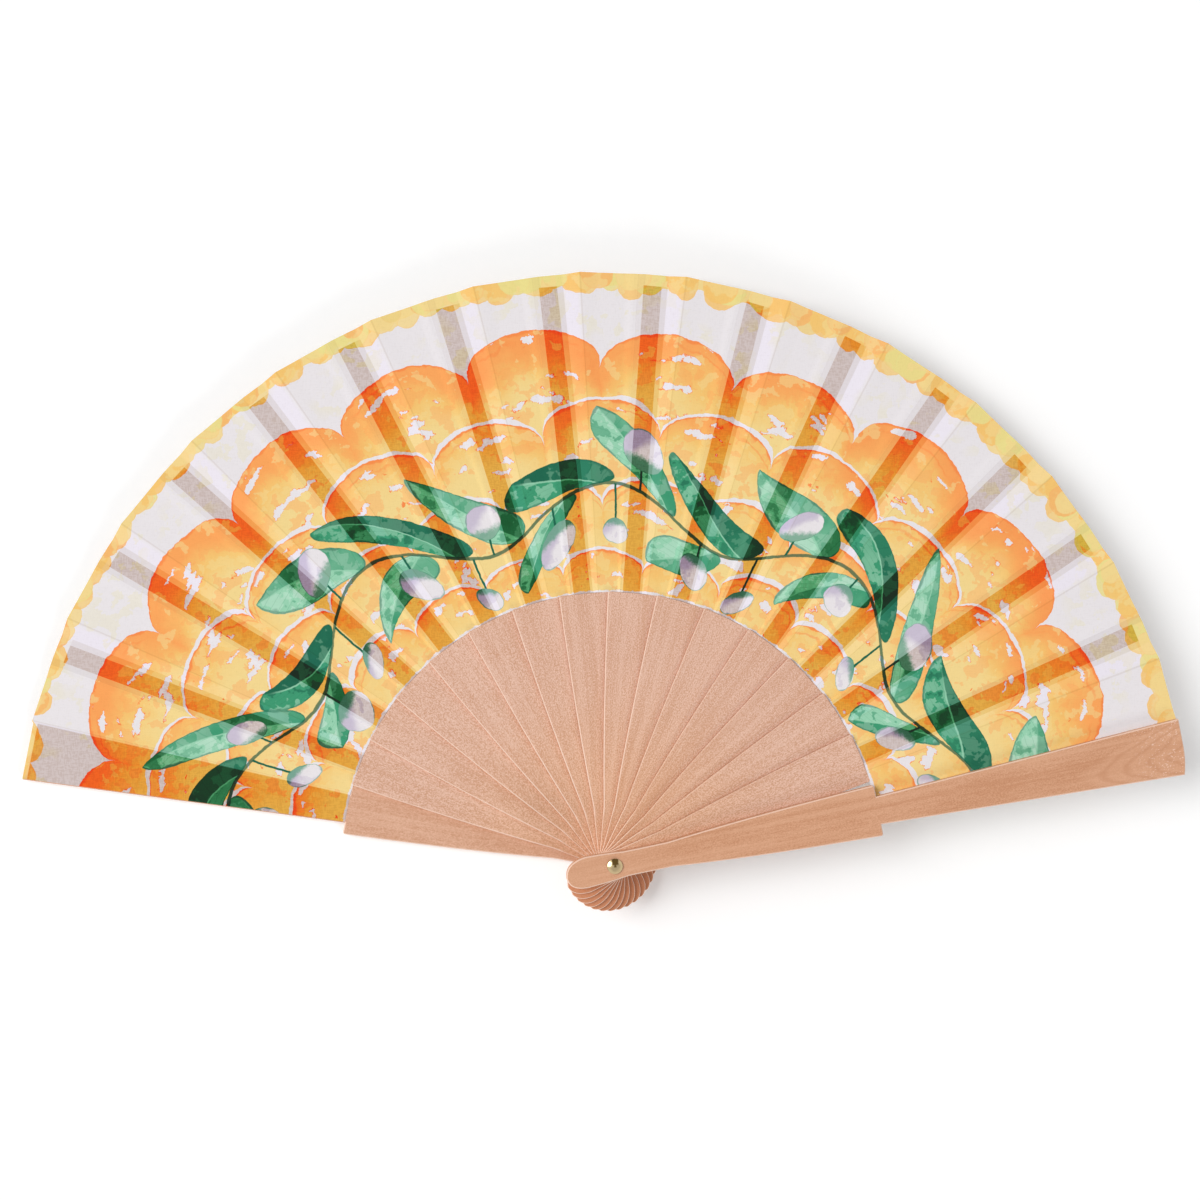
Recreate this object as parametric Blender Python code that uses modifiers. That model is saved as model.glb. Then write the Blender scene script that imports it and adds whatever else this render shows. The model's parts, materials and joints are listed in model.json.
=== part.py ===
"""Wooden folding fan, shown open: guards and sticks that turn on one rivet under a pleated cloth leaf.

The rivet's axis is +Z and the front of the fan faces +Z. The leaf opens towards +Y, with the front guard
at the right on top of the stack and the rear guard at the left below it. Every stick is drawn in its own
frame: x runs from the rivet to the tip, y across it to the left, and z up from the stick's back face.
"""
import math

import bmesh
import bpy
from mathutils import Matrix, Vector

# Sticks and guards, along their length
FAN_LENGTH = 0.2298
GUARD_HEAD_REACH = 0.0176
STICK_HEAD_REACH = 0.0182
LEFT_SHOULDER_REACH = 0.0095
RIGHT_SHOULDER_REACH = 0.0110
NECK_REACH = 0.0200
WAIST_REACH = 0.0040
GORGE_REACH = 0.0969
SLIP_REACH = 0.2085

# Sticks and guards, across
HEAD_LEFT_WIDTH = 0.0053
HEAD_RIGHT_WIDTH = 0.0057
NOSE_OFFSET = 0.0009
NECK_WIDTH = 0.0089
GORGE_WIDTH = 0.0184
SLIP_WIDTH = 0.0055
SLIP_LEAN_ROOT = 0.0006
SLIP_LEAN_TIP = 0.0020
BLADE_ROOT_WIDTH = 0.0101
BLADE_TIP_WIDTH = 0.0205
BLADE_TIP_DROP = 0.0015
SHOULDER_ROUND = 0.0008
SLIP_END_ROUND = 0.0010
FLARE_BEND_SHARES = (0.39, 0.62)
HEAD_BEND_SHARES = (0.60, 0.30)
GUARD_NOSE_LEFT_SHARES = (0.06, 0.88)
GUARD_NOSE_RIGHT_SHARES = (0.05, 0.95)
STICK_NOSE_LEFT_SHARES = (0.12, 0.80)
STICK_NOSE_RIGHT_SHARES = (0.12, 0.88)

# Thickness of the wood and the play between neighbours
GUARD_THICKNESS = 0.0030
GUARD_REBATE = 0.0005
GUARD_CHAMFER = 0.0004
STICK_THICKNESS = 0.0012
SLIP_THICKNESS = 0.0005
STICK_CHAMFER = 0.00022
PLAY = 0.0003

# Spread of the open fan
STICK_COUNT = 14
REAR_STEP_DEG = 10.71
STICK_STEP_DEG = 10.44
FRONT_STEP_DEG = 11.61

# Rivet and the burr its tail is closed over
SHANK_RADIUS = 0.00125
DOME_RADIUS = 0.00270
DOME_HEIGHT = 0.00105
DOME_RIM = 0.00025
TAIL_RADIUS = 0.00195
TAIL_THICKNESS = 0.00035
TAIL_SUNK = 0.00020
BURR_RADIUS = 0.00250
BURR_THICKNESS = 0.00050

# Leaf
LEAF_THICKNESS = 0.00020
LEAF_PROUD = 0.0003
LEAF_INSET = 0.0002
RIDGE_CLEAR_ROOT = 0.0028
RIDGE_CLEAR_TIP = 0.0094
VALLEY_CLEAR_ROOT = 0.0013
VALLEY_CLEAR_TIP = 0.0035
GUARD_CREASE_CLEAR = 0.0010
RIDGE_RISE_ROOT = 0.0008
RIDGE_RISE_TIP = 0.0020
VALLEY_DROP = 0.0006

# Facets on round stretches
NOSE_STEPS = 9
FLARE_STEPS = 9
ROUND_STEPS = 4
TIP_STEPS = 5
BORE_STEPS = 20
RIVET_STEPS = 32
DOME_STEPS = 8

# Places worked out from the sizes above
BLADE_REACH = FAN_LENGTH - GUARD_HEAD_REACH
LEAF_REACH = BLADE_REACH + LEAF_PROUD
LEAF_ROOT = GORGE_REACH + PLAY
BORE_RADIUS = SHANK_RADIUS + PLAY
STACK_PITCH = STICK_THICKNESS + PLAY
REAR_BACK = -TAIL_SUNK
REAR_FRONT = REAR_BACK + GUARD_THICKNESS
FRONT_BACK = REAR_FRONT + PLAY + STICK_COUNT * STACK_PITCH
FRONT_FACE = FRONT_BACK + GUARD_THICKNESS
BURR_BACK = TAIL_THICKNESS + PLAY
COUNTERBORE_DEPTH = BURR_BACK + BURR_THICKNESS + PLAY - REAR_BACK
REAR_LEAF_BACK = GUARD_THICKNESS - GUARD_REBATE + PLAY
STICK_LEAF_BACK = SLIP_THICKNESS + PLAY
FRONT_LEAF_BACK = GUARD_REBATE - PLAY - LEAF_THICKNESS
SPREAD_DEG = REAR_STEP_DEG + (STICK_COUNT - 1) * STICK_STEP_DEG + FRONT_STEP_DEG
REAR_ANGLE_DEG = 90 + SPREAD_DEG / 2
CUT_OVERRUN = 0.0020
WELD_DISTANCE = 0.000002

PARTS = "folding_fan"
CUTTERS = "cutters"


def clear_scene():
    for obj in list(bpy.data.objects):
        bpy.data.objects.remove(obj, do_unlink=True)


def new_collection(name):
    collection = bpy.data.collections.new(name)
    bpy.context.scene.collection.children.link(collection)
    return collection


def finish_material(name, color, roughness, metallic=0.0):
    material = bpy.data.materials.new(name)
    material.use_nodes = True
    shader = material.node_tree.nodes["Principled BSDF"]
    shader.inputs["Base Color"].default_value = (*color, 1.0)
    shader.inputs["Roughness"].default_value = roughness
    shader.inputs["Metallic"].default_value = metallic
    material.diffuse_color = (*color, 1.0)
    return material


def arc(centre, radius, start_deg, end_deg, steps):
    """Points of an arc, both ends included."""
    points = []
    for step in range(steps + 1):
        turn = math.radians(start_deg + (end_deg - start_deg) * step / steps)
        points.append((centre[0] + radius * math.cos(turn), centre[1] + radius * math.sin(turn)))
    return points


def bend(start, end, bend_shares, steps):
    """A smooth curve from start to end, pulled towards one point placed between them by shares."""
    pull = [start[axis] + (end[axis] - start[axis]) * bend_shares[axis] for axis in range(2)]
    points = []
    for step in range(steps + 1):
        t = step / steps
        near, middle, far = (1 - t) ** 2, 2 * t * (1 - t), t ** 2
        points.append(tuple(near * start[axis] + middle * pull[axis] + far * end[axis] for axis in range(2)))
    return points


def mirrored(points):
    """The same side of an outline on the other side of the stick's axis, run the other way."""
    return [(x, -y) for x, y in reversed(points)]


def gorge_side(shoulder_reach, head_width):
    """Left side from the head's shoulder to the gorge's rounded end corner."""
    head = (-shoulder_reach, head_width)
    waist = (WAIST_REACH, NECK_WIDTH / 2)
    neck = (NECK_REACH, NECK_WIDTH / 2)
    corner = (GORGE_REACH, GORGE_WIDTH / 2)
    side = bend(head, waist, HEAD_BEND_SHARES, ROUND_STEPS)
    side += bend(neck, (corner[0] - SHOULDER_ROUND, corner[1]), FLARE_BEND_SHARES, FLARE_STEPS)
    round_centre = (corner[0] - SHOULDER_ROUND, corner[1] - SHOULDER_ROUND)
    side += arc(round_centre, SHOULDER_ROUND, 90, 0, ROUND_STEPS)[1:]
    return side


def gorge_sides():
    """Both sides of the gorge with its head's shoulders, each run away from the head."""
    left = gorge_side(LEFT_SHOULDER_REACH, HEAD_LEFT_WIDTH)
    right = gorge_side(RIGHT_SHOULDER_REACH, HEAD_RIGHT_WIDTH)
    return left, right


def head_end(head_reach, left_shares, right_shares):
    """The head's end, from its right shoulder round a nose that lies off the axis to its left shoulder."""
    nose = (-head_reach, -NOSE_OFFSET)
    right = bend(nose, (-RIGHT_SHOULDER_REACH, -HEAD_RIGHT_WIDTH), right_shares, NOSE_STEPS)
    left = bend(nose, (-LEFT_SHOULDER_REACH, HEAD_LEFT_WIDTH), left_shares, NOSE_STEPS)
    return right[-2::-1] + left[1:-1]


def between(root, tip, reach):
    """A size that changes evenly from the leaf's root to the fan's tip."""
    share = (reach - GORGE_REACH) / (BLADE_REACH - GORGE_REACH)
    return root + (tip - root) * share


def slip_lean(reach):
    return between(SLIP_LEAN_ROOT, SLIP_LEAN_TIP, reach)


def blade_half(reach):
    return between(BLADE_ROOT_WIDTH, BLADE_TIP_WIDTH, reach) / 2


def stick_outline():
    """An inner stick: head, gorge and the narrow slip that carries the leaf."""
    left, right = gorge_sides()
    half = SLIP_WIDTH / 2
    root = slip_lean(GORGE_REACH)
    tip = slip_lean(SLIP_REACH)
    end = SLIP_REACH - SLIP_END_ROUND
    slip = [(GORGE_REACH, root + half)]
    slip += arc((end, tip + half - SLIP_END_ROUND), SLIP_END_ROUND, 90, 0, ROUND_STEPS)
    slip += arc((end, tip - half + SLIP_END_ROUND), SLIP_END_ROUND, 0, -90, ROUND_STEPS)
    slip.append((GORGE_REACH, root - half))
    head = head_end(STICK_HEAD_REACH, STICK_NOSE_LEFT_SHARES, STICK_NOSE_RIGHT_SHARES)
    return head + left + slip + mirrored(right)


def guard_outline():
    """A guard: head, gorge and a blade that widens to an end eased at its right corner."""
    left, right = gorge_sides()
    root_half = BLADE_ROOT_WIDTH / 2
    tip_half = BLADE_TIP_WIDTH / 2
    blade = [(GORGE_REACH, root_half), (BLADE_REACH, tip_half), (BLADE_REACH, 0)]
    for step in range(1, TIP_STEPS + 1):
        share = step / TIP_STEPS
        blade.append((BLADE_REACH - BLADE_TIP_DROP * share ** 2, -tip_half * share))
    blade.append((GORGE_REACH, -root_half))
    head = head_end(GUARD_HEAD_REACH, GUARD_NOSE_LEFT_SHARES, GUARD_NOSE_RIGHT_SHARES)
    return head + left + blade + mirrored(right)


def plate(name, loops, thickness, chamfer):
    """A flat plate with eased edges, its back face at z 0, drawn as a filled 2D curve."""
    curve = bpy.data.curves.new(name, "CURVE")
    curve.dimensions = "2D"
    curve.fill_mode = "BOTH"
    curve.extrude = thickness / 2 - chamfer
    curve.bevel_depth = chamfer
    curve.bevel_resolution = 0
    curve.offset = -chamfer
    for points in loops:
        spline = curve.splines.new("POLY")
        spline.points.add(len(points) - 1)
        for point, (x, y) in zip(spline.points, points):
            point.co = (x, y, 0, 1)
        spline.use_cyclic_u = True
    obj = bpy.data.objects.new(name, curve)
    obj.location.z = thickness / 2
    bpy.context.scene.collection.objects.link(obj)
    return as_mesh(obj)


def as_mesh(obj):
    """Swaps an object for its evaluated mesh, in world space, with its seams welded."""
    bpy.context.view_layer.update()
    evaluated = obj.evaluated_get(bpy.context.evaluated_depsgraph_get())
    mesh = bpy.data.meshes.new_from_object(evaluated)
    mesh.transform(obj.matrix_world)
    name = obj.name
    bpy.data.objects.remove(obj, do_unlink=True)
    shell = bmesh.new()
    shell.from_mesh(mesh)
    bmesh.ops.remove_doubles(shell, verts=shell.verts, dist=WELD_DISTANCE)
    bmesh.ops.recalc_face_normals(shell, faces=shell.faces)
    shell.to_mesh(mesh)
    shell.free()
    solid = bpy.data.objects.new(name, mesh)
    bpy.context.scene.collection.objects.link(solid)
    return solid


def cutter(name, shape, collection):
    """A guide shape that only cuts: kept out of the render and drawn as wire."""
    obj = bpy.data.objects.new(name, shape)
    obj.hide_render = True
    obj.display_type = "WIRE"
    collection.objects.link(obj)
    return obj


def block(name, low, high):
    """A box mesh between two corners."""
    low, high = Vector(low), Vector(high)
    mesh = bpy.data.meshes.new(name)
    box = bmesh.new()
    place = Matrix.Translation((low + high) / 2) @ Matrix.Diagonal((*(high - low), 1))
    bmesh.ops.create_cube(box, size=1, matrix=place)
    box.to_mesh(mesh)
    box.free()
    return mesh


def drum(name, radius, bottom, top):
    """A round cutter on the rivet's axis."""
    mesh = bpy.data.meshes.new(name)
    shape = bmesh.new()
    bmesh.ops.create_cone(shape, cap_ends=True, segments=BORE_STEPS, radius1=radius, radius2=radius,
                          depth=top - bottom, matrix=Matrix.Translation((0, 0, (bottom + top) / 2)))
    shape.to_mesh(mesh)
    shape.free()
    return mesh


def cut(obj, tools):
    """Takes the tools' shapes out of an object for good and returns the cut mesh object."""
    for tool in tools:
        modifier = obj.modifiers.new(tool.name, "BOOLEAN")
        modifier.operation = "DIFFERENCE"
        modifier.solver = "EXACT"
        modifier.object = tool
    return as_mesh(obj)


def bore_loop():
    return arc((0, 0), BORE_RADIUS, 360, 0, BORE_STEPS)[:-1]


def stick_mesh(cutters):
    """The wood of one inner stick, with its slip pared down from the front."""
    body = plate("stick_blank", [stick_outline(), bore_loop()], STICK_THICKNESS, STICK_CHAMFER)
    reach = SLIP_REACH + CUT_OVERRUN
    side = GORGE_WIDTH / 2 + CUT_OVERRUN
    high = STICK_THICKNESS + CUT_OVERRUN
    paring = block("slip_paring", (GORGE_REACH, -side, SLIP_THICKNESS), (reach, side, high))
    return cut(body, [cutter("slip_paring", paring, cutters)])


def guard_mesh(name, leaf_on_front, cutters):
    """The wood of one guard, rebated on the face that meets the leaf."""
    body = plate(name + "_blank", [guard_outline(), bore_loop()], GUARD_THICKNESS, GUARD_CHAMFER)
    reach = BLADE_REACH + CUT_OVERRUN
    side = BLADE_TIP_WIDTH / 2 + GORGE_WIDTH
    if leaf_on_front:
        low, high = GUARD_THICKNESS - GUARD_REBATE, GUARD_THICKNESS + CUT_OVERRUN
    else:
        low, high = -CUT_OVERRUN, GUARD_REBATE
    rebate = block(name + "_rebate", (GORGE_REACH, -side, low), (reach, side, high))
    tools = [cutter(name + "_rebate", rebate, cutters)]
    if leaf_on_front:
        seat = drum(name + "_counterbore", BURR_RADIUS + PLAY, -CUT_OVERRUN, COUNTERBORE_DEPTH)
        tools.append(cutter(name + "_counterbore", seat, cutters))
    return cut(body, tools)


def slip_edges():
    """Left and right edges of the strip glued to a slip."""
    half = SLIP_WIDTH / 2
    return (lambda reach: slip_lean(reach) + half, lambda reach: slip_lean(reach) - half)


def guard_edges():
    """Left and right edges of the strip glued to a guard's blade."""
    return (lambda reach: blade_half(reach) - LEAF_INSET, lambda reach: LEAF_INSET - blade_half(reach))


def slip_strip_outline():
    """The strip of leaf glued to a slip, square at the rim."""
    left, right = slip_edges()
    return [(LEAF_ROOT, right(LEAF_ROOT)), (LEAF_REACH, right(LEAF_REACH)),
            (LEAF_REACH, left(LEAF_REACH)), (LEAF_ROOT, left(LEAF_ROOT))]


def guard_strip_outline():
    """The strip of leaf glued to a guard, just inside its blade and eased with the blade's end."""
    left, right = guard_edges()
    end = BLADE_REACH - LEAF_INSET
    eased = end - BLADE_TIP_DROP
    return [(LEAF_ROOT, right(LEAF_ROOT)), (eased, right(eased)), (end, 0), (end, left(end)),
            (LEAF_ROOT, left(LEAF_ROOT))]


def strip_mesh(name, outline, back):
    """A flat strip of leaf whose back lies at the height given."""
    strip = plate(name, [outline], LEAF_THICKNESS, 0)
    strip.data.transform(Matrix.Translation((0, 0, back)))
    return strip


def pleat_path(reach, right_edge, left_edge, step_deg, rise, on_guards):
    """One pleat's section at a reach: from this stick's strip over the ridge and valley to the next strip.

    The points are in this stick's frame. The next stick is turned by step_deg and lies higher by rise.
    """
    from_guard, to_guard = on_guards
    ridge_clear = GUARD_CREASE_CLEAR if from_guard else between(RIDGE_CLEAR_ROOT, RIDGE_CLEAR_TIP, reach)
    valley_clear = GUARD_CREASE_CLEAR if to_guard else between(VALLEY_CLEAR_ROOT, VALLEY_CLEAR_TIP, reach)
    ridge_rise = between(RIDGE_RISE_ROOT, RIDGE_RISE_TIP, reach)
    turn = Matrix.Rotation(math.radians(-step_deg), 3, "Z")
    start = right_edge(reach) - PLAY
    end = left_edge(reach) + PLAY
    here = [Vector((reach, start, 0)), Vector((reach, start - ridge_clear, ridge_rise))]
    there = [Vector((reach, end + valley_clear, rise - VALLEY_DROP)), Vector((reach, end, rise))]
    return here + [turn @ point for point in there]


def pleat_mesh(name, right_edge, left_edge, step_deg, rise, middle, on_guards=(False, False)):
    """A free pleat of leaf between two neighbours, lofted from the gorge to the rim."""
    mesh = bpy.data.meshes.new(name)
    sheet = bmesh.new()
    rows = []
    for reach in (LEAF_ROOT, LEAF_REACH):
        path = pleat_path(reach, right_edge, left_edge, step_deg, rise, on_guards)
        rows.append([sheet.verts.new(point + Vector((0, 0, middle))) for point in path])
    root, rim = rows
    for fold in range(len(root) - 1):
        sheet.faces.new((root[fold], rim[fold], rim[fold + 1], root[fold + 1]))
    bmesh.ops.recalc_face_normals(sheet, faces=sheet.faces)
    sheet.to_mesh(mesh)
    sheet.free()
    return mesh


def rivet_profile():
    """Half section of the rivet from the top of its dome down to the flat of its tail."""
    rise = DOME_HEIGHT - DOME_RIM
    ball = (DOME_RADIUS ** 2 + rise ** 2) / (2 * rise)
    head_back = FRONT_FACE + PLAY
    centre = head_back + DOME_HEIGHT - ball
    edge_deg = math.degrees(math.asin(DOME_RADIUS / ball))
    dome = arc((0, centre), ball, 90, 90 - edge_deg, DOME_STEPS)
    shank = [(DOME_RADIUS, head_back), (SHANK_RADIUS, head_back), (SHANK_RADIUS, TAIL_THICKNESS),
             (TAIL_RADIUS, TAIL_THICKNESS), (TAIL_RADIUS, 0), (0, 0)]
    return [(0, dome[0][1])] + dome[1:] + shank


def burr_profile():
    """Half section of the burr, closed round its bore."""
    top = BURR_BACK + BURR_THICKNESS
    return [(BORE_RADIUS, top), (BURR_RADIUS, top), (BURR_RADIUS, BURR_BACK), (BORE_RADIUS, BURR_BACK)]


def turned(name, profile, closed):
    """A turned piece: its half section swept round the rivet's axis."""
    mesh = bpy.data.meshes.new(name)
    section = bmesh.new()
    verts = [section.verts.new((x, 0, z)) for x, z in profile]
    for first, second in zip(verts[:-1], verts[1:]):
        section.edges.new((first, second))
    if closed:
        section.edges.new((verts[-1], verts[0]))
    section.to_mesh(mesh)
    section.free()
    obj = bpy.data.objects.new(name, mesh)
    screw = obj.modifiers.new("turn", "SCREW")
    screw.steps = RIVET_STEPS
    screw.render_steps = RIVET_STEPS
    screw.use_merge_vertices = True
    screw.merge_threshold = WELD_DISTANCE
    screw.use_smooth_shade = True
    return obj


def place(name, mesh, material, collection, parent=None, height=0.0, angle_deg=0.0):
    """Adds a sub-part by name, standing on the rivet's axis."""
    obj = bpy.data.objects.new(name, mesh)
    if not mesh.materials:
        mesh.materials.append(material)
    collection.objects.link(obj)
    obj.location.z = height
    obj.rotation_euler.z = math.radians(angle_deg)
    obj.parent = parent
    return obj


def thicken(obj):
    """Gives a lofted sheet of leaf its thickness, half to each side."""
    solidify = obj.modifiers.new("thickness", "SOLIDIFY")
    solidify.thickness = LEAF_THICKNESS
    solidify.offset = 0
    solidify.use_even_offset = True


def take_mesh(obj):
    """Keeps a finished shape's mesh and drops the object that it was made on."""
    mesh = obj.data
    bpy.data.objects.remove(obj, do_unlink=True)
    return mesh


def add_wood(parts, cutters, axis):
    """Stands the guards and sticks on the rivet's axis and returns them, from the back to the front."""
    guard_wood = finish_material("guard_wood", (0.62, 0.32, 0.18), 0.50)
    stick_wood = finish_material("stick_wood", (0.66, 0.36, 0.23), 0.55)
    rear_shape = take_mesh(guard_mesh("rear_guard", True, cutters))
    front_shape = take_mesh(guard_mesh("front_guard", False, cutters))
    stick_shape = take_mesh(stick_mesh(cutters))

    carriers = [place("rear_guard", rear_shape, guard_wood, parts, axis, REAR_BACK, REAR_ANGLE_DEG)]
    for number in range(1, STICK_COUNT + 1):
        height = REAR_FRONT + PLAY + (number - 1) * STACK_PITCH
        angle = REAR_ANGLE_DEG - REAR_STEP_DEG - (number - 1) * STICK_STEP_DEG
        carriers.append(place(f"stick_{number:02d}", stick_shape, stick_wood, parts, axis, height, angle))
    front_angle = REAR_ANGLE_DEG - SPREAD_DEG
    carriers.append(place("front_guard", front_shape, guard_wood, parts, axis, FRONT_BACK, front_angle))
    return carriers


def add_strips(parts, carriers, cloth):
    """Glues the leaf's flat strips: on the rear guard, on every slip and under the front guard."""
    rear_shape = take_mesh(strip_mesh("rear_strip", guard_strip_outline(), REAR_LEAF_BACK))
    stick_shape = take_mesh(strip_mesh("stick_strip", slip_strip_outline(), STICK_LEAF_BACK))
    front_shape = take_mesh(strip_mesh("front_strip", guard_strip_outline(), FRONT_LEAF_BACK))
    place("leaf_strip_rear", rear_shape, cloth, parts, carriers[0])
    for number, stick in enumerate(carriers[1:-1], start=1):
        place(f"leaf_strip_{number:02d}", stick_shape, cloth, parts, stick)
    place("leaf_strip_front", front_shape, cloth, parts, carriers[-1])


def add_pleats(parts, carriers, cloth):
    """Hangs a free pleat between each guard or stick and the next, in the frame of the one on its left."""
    slip_left, slip_right = slip_edges()
    blade_left, blade_right = guard_edges()
    rear_level = REAR_LEAF_BACK + LEAF_THICKNESS / 2
    stick_level = STICK_LEAF_BACK + LEAF_THICKNESS / 2
    front_level = FRONT_LEAF_BACK + LEAF_THICKNESS / 2
    first_rise = GUARD_THICKNESS + PLAY + stick_level - rear_level
    last_rise = STACK_PITCH + front_level - stick_level

    first_shape = pleat_mesh("first_pleat", blade_right, slip_left, REAR_STEP_DEG, first_rise, rear_level,
                             (True, False))
    stick_shape = pleat_mesh("stick_pleat", slip_right, slip_left, STICK_STEP_DEG, STACK_PITCH, stick_level)
    last_shape = pleat_mesh("last_pleat", slip_right, blade_left, FRONT_STEP_DEG, last_rise, stick_level,
                            (False, True))
    shapes = [first_shape] + [stick_shape] * (STICK_COUNT - 1) + [last_shape]
    for number, (carrier, shape) in enumerate(zip(carriers, shapes), start=1):
        thicken(place(f"leaf_pleat_{number:02d}", shape, cloth, parts, carrier))


def add_rivet(parts, axis):
    """The rivet, and the burr under its closed tail."""
    brass = finish_material("rivet_brass", (0.62, 0.47, 0.20), 0.28, 1.0)
    for name, profile, closed in (("rivet", rivet_profile(), False), ("rivet_burr", burr_profile(), True)):
        piece = turned(name, profile, closed)
        piece.data.materials.append(brass)
        piece.parent = axis
        parts.objects.link(piece)


def build():
    clear_scene()
    parts = new_collection(PARTS)
    cutters = new_collection(CUTTERS)
    axis = bpy.data.objects.new("rivet_axis", None)
    parts.objects.link(axis)

    carriers = add_wood(parts, cutters, axis)
    cloth = finish_material("leaf_cloth", (0.92, 0.55, 0.16), 0.85)
    add_strips(parts, carriers, cloth)
    add_pleats(parts, carriers, cloth)
    add_rivet(parts, axis)


build()
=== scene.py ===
import json
import math

import bpy
from mathutils import Color, Matrix, Vector, noise
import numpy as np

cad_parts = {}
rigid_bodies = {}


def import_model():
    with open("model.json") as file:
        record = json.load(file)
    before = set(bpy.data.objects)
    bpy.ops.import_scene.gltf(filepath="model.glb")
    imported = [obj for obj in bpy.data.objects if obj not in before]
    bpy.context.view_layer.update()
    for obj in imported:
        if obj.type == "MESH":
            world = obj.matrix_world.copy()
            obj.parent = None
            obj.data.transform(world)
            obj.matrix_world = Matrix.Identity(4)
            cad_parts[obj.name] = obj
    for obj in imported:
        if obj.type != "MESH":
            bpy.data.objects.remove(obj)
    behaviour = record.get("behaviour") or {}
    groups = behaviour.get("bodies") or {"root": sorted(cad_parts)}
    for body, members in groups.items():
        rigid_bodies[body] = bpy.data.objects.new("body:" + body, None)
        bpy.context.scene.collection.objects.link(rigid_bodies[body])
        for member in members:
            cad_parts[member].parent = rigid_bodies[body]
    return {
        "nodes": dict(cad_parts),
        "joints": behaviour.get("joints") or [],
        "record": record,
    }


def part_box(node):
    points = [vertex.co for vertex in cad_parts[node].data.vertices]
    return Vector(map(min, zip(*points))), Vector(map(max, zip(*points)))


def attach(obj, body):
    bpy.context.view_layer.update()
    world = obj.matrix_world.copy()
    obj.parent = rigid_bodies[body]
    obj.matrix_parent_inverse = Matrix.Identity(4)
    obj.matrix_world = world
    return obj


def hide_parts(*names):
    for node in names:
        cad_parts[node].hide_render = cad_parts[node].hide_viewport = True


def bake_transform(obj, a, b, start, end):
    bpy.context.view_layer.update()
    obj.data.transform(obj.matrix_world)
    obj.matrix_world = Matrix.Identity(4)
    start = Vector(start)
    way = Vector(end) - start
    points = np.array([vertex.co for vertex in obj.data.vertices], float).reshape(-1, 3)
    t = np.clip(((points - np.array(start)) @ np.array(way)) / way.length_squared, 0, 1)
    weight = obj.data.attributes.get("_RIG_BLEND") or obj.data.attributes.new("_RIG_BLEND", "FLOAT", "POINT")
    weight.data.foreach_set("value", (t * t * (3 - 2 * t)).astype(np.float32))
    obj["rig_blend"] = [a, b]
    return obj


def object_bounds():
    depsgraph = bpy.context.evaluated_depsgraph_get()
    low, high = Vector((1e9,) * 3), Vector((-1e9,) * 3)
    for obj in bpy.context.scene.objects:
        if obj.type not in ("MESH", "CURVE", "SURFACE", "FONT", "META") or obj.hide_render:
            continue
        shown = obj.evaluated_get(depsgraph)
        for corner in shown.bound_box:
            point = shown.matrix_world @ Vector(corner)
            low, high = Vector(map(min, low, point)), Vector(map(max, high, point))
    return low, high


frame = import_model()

bl_info = {
    "name": "Folding Fan",
    "version": (1, 0, 0),
    "blender": (4, 5, 0),
    "location": "3D View > Sidebar > Fan",
    "description": "Dresses a wooden folding fan: grained wood, a brass rivet, a pleated leaf and a studio",
    "category": "Add Mesh",
}

CAD_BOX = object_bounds()

# The fan's bodies in order, from the rear guard to the front one, and the wood that leads each
JOINTS = frame["joints"]
BODIES = [JOINTS[0]["parent"]] + [joint["child"] for joint in JOINTS]
GROUPS = frame["record"]["behaviour"]["bodies"]
WOODS = [GROUPS[body][0] for body in BODIES]
STRIPS = [next(node for node in GROUPS[body] if node.startswith("leaf_strip")) for body in BODIES]
STEPS_DEG = [joint["range_deg"][1] for joint in JOINTS]
AXES_DEG = [90 + sum(STEPS_DEG) / 2 - sum(STEPS_DEG[:count]) for count in range(len(BODIES))]
LAST = len(BODIES) - 1

# Reaches and widths of the wood under the leaf, as the model has them
STRIP_GAP = 0.0003
GORGE_REACH = 0.0969
SLIP_REACH = 0.2085
SLIP_HALF_WIDTH = 0.00275
SLIP_LEANS = (0.0006, 0.0020)
BLADE_REACH = 0.2122
BLADE_HALF_WIDTHS = (0.00505, 0.01025)

# Sockets of the colour mix node: its two colours and its result
MIX_A, MIX_B, MIX_RESULT = 6, 7, 2


def srgb(color):
    """A displayed colour as the linear values that a shader takes, with full opacity."""
    return (*Color(color).from_srgb_to_scene_linear(), 1.0)


def shaded(color, factors):
    """A displayed colour made lighter or darker, channel by channel."""
    return srgb([min(1.0, channel * factor) for channel, factor in zip(color, factors)])


def hypot(x, y):
    return (x * x + y * y) ** 0.5


def between(ends, share):
    return ends[0] + (ends[1] - ends[0]) * share


def eased_share(share):
    """Leaves 0 and reaches 1 without a kink, and stays there beyond them."""
    share = max(0.0, min(1.0, share))
    return share * share * (3 - 2 * share)


def across_fan(values, boards, number):
    """Goes from the first value to the second over the fan, between two boards counted from the left."""
    return between(values, eased_share((number - boards[0]) / (boards[1] - boards[0])))


def color_setting(name, description, default):
    """A setting that holds a displayed colour."""
    return bpy.props.FloatVectorProperty(
        name=name, description=description, default=default, subtype="COLOR_GAMMA", size=3, min=0, max=1)


def length_setting(name, description, default, most=0.01):
    """A setting that holds a length in metres."""
    return bpy.props.FloatProperty(
        name=name, description=description, default=default, subtype="DISTANCE", unit="LENGTH",
        min=0, max=most)


def share_setting(name, description, default):
    """A setting that goes from nothing to all."""
    return bpy.props.FloatProperty(
        name=name, description=description, default=default, subtype="FACTOR", min=0, max=1)


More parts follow.
